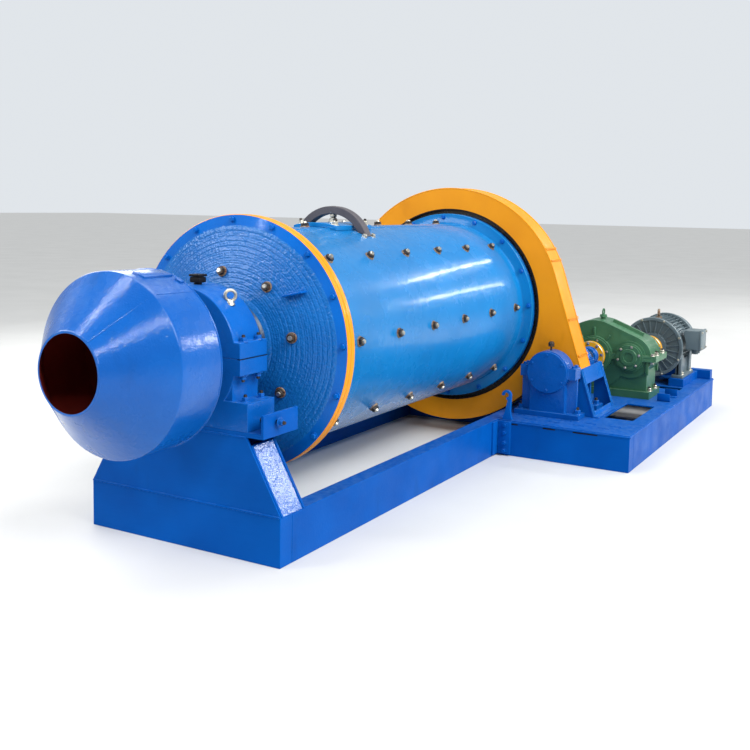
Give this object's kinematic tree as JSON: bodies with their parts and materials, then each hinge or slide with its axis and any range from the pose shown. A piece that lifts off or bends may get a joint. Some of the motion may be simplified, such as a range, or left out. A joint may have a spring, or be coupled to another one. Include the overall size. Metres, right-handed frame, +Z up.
{
  "type": "ball mill",
  "caption": "Edge-driven grinding ball mill: a drum with a conical drum feeder on two trunnion bearings, girth gear guard, base frame, and motor and reducer on a side base.",
  "frame": {"origin": "on the floor, at the middle of the underside of the front cross beam, under the drum's axis", "axes": "+X along the drum from the feed end to the drive end, +Z up, drive base on the -Y side"},
  "size_m": [6.048, 2.381, 1.838],
  "materials": {
    "blue_paint": "gloss machine enamel over castings and plate",
    "orange_paint": "gloss enamel",
    "green_paint": "semi-gloss enamel over a casting",
    "motor_paint": "semi-gloss grey-green enamel over a casting",
    "dark_steel": "dark primer over cut plate",
    "machined_steel": "turned, lightly oiled",
    "greased_gear": "cut teeth under dark grease",
    "coupling_paint": "yellow enamel"
  },
  "bodies": {
    "frame": {"front_cross_beam": "blue_paint", "rear_cross_beam": "blue_paint", "near_long_beam": "blue_paint", "far_long_beam": "blue_paint", "feed_stand_outer_plate": "blue_paint", "feed_stand_inner_plate": "blue_paint", "feed_stand_near_side": "blue_paint", "feed_stand_far_side": "blue_paint", "feed_stand_top_plate": "blue_paint", "discharge_stand_outer_plate": "blue_paint", "discharge_stand_inner_plate": "blue_paint", "discharge_stand_near_side": "blue_paint", "discharge_stand_far_side": "blue_paint", "discharge_stand_top_plate": "blue_paint", "feed_bearing_body": "blue_paint", "feed_bearing_cap": "blue_paint", "discharge_bearing_body": "blue_paint", "discharge_bearing_cap": "blue_paint", "guard_front_plate": "orange_paint", "guard_rear_plate": "orange_paint", "guard_rim": "orange_paint", "pinion_casing": "blue_paint", "drive_front_beam": "blue_paint", "drive_rear_beam": "blue_paint", "drive_outer_beam": "blue_paint", "drive_inner_beam": "blue_paint", "drive_deck": "blue_paint", "front_pinion_bearing": "blue_paint", "rear_pinion_bearing": "blue_paint", "reducer_case": "green_paint", "reducer_cover": "green_paint", "motor": "motor_paint", "motor_terminal_box": "motor_paint", "motor_stool": "blue_paint", "lifting_hook": "blue_paint"},
    "drum": {"drum_shell": "blue_paint", "feed_head": "blue_paint", "discharge_head": "blue_paint", "feed_trunnion": "machined_steel", "discharge_trunnion": "machined_steel", "drum_feeder": "blue_paint", "manhole_cover": "blue_paint", "manhole_strongback": "dark_steel", "girth_gear": "greased_gear"},
    "pinion_line": {"pinion_shaft": "machined_steel", "low_speed_coupling": "coupling_paint"},
    "motor_line": {"high_speed_coupling": "coupling_paint"}
  },
  "joints": [
    {"name": "drum_spin", "type": "hinge", "parent": "frame", "child": "drum", "pos_m": [0, 0, 0.97], "axis": [1, 0, 0], "continuous": true},
    {"name": "pinion_spin", "type": "hinge", "parent": "frame", "child": "pinion_line", "pos_m": [2.915, -0.85152, 0.56019], "axis": [1, 0, 0], "continuous": true},
    {"name": "motor_spin", "type": "hinge", "parent": "frame", "child": "motor_line", "pos_m": [4.51, -1.13152, 0.56019], "axis": [1, 0, 0], "continuous": true}
  ],
  "couplings": [
    {"joint": "pinion_spin", "follows": "drum_spin", "ratio": -4.8696},
    {"joint": "motor_spin", "follows": "drum_spin", "ratio": 24.348}
  ]
}
